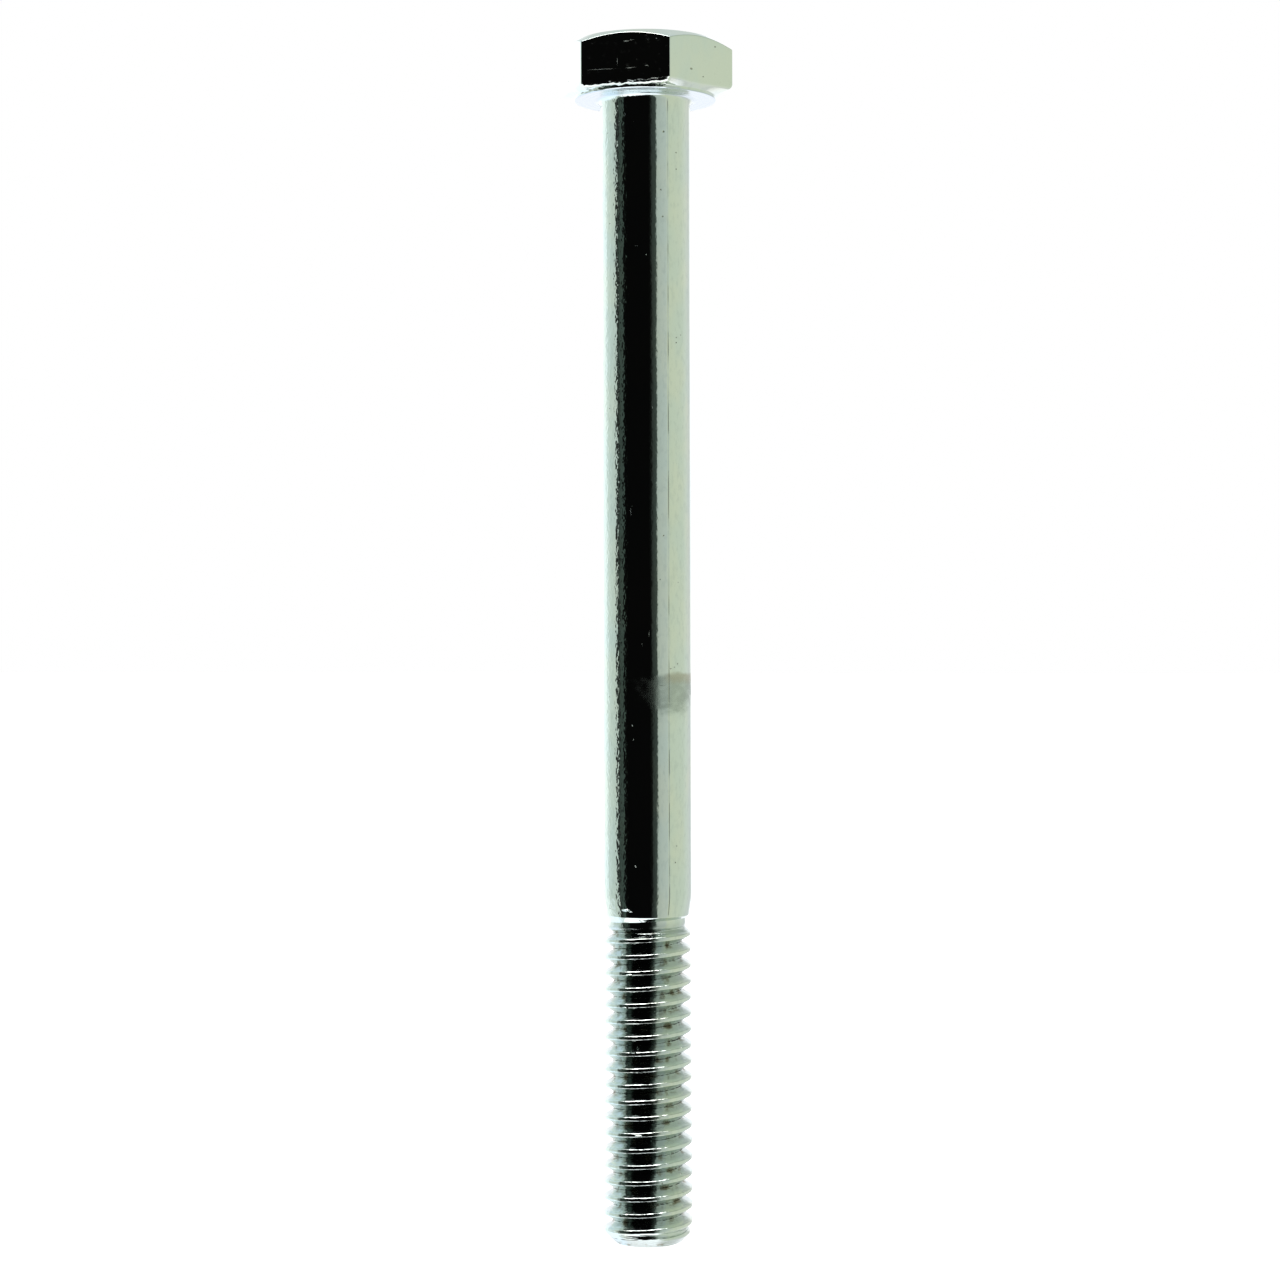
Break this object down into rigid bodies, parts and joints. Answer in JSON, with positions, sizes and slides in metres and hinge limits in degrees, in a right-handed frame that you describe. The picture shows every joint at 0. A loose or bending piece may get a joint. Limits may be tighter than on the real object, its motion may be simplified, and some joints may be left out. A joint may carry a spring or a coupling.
{
  "type": "hex bolt",
  "caption": "Partly threaded hexagon head bolt in bright plated steel, with a washer face under the head, a long plain shank and a chamfered point.",
  "frame": {"origin": "centre of the bearing face, on the bolt's axis", "axes": "+Z along the axis towards the top of the head, with the shank towards -Z and two of the six flats facing +Y and -Y"},
  "size_m": [0.0078, 0.0068, 0.0525],
  "materials": {
    "zinc_plate": "bright zinc plate on steel, near mirror, with faint drawing lines along the shank and small pits"
  },
  "bodies": {
    "root": {"hex_bolt": "zinc_plate"}
  },
  "joints": []
}
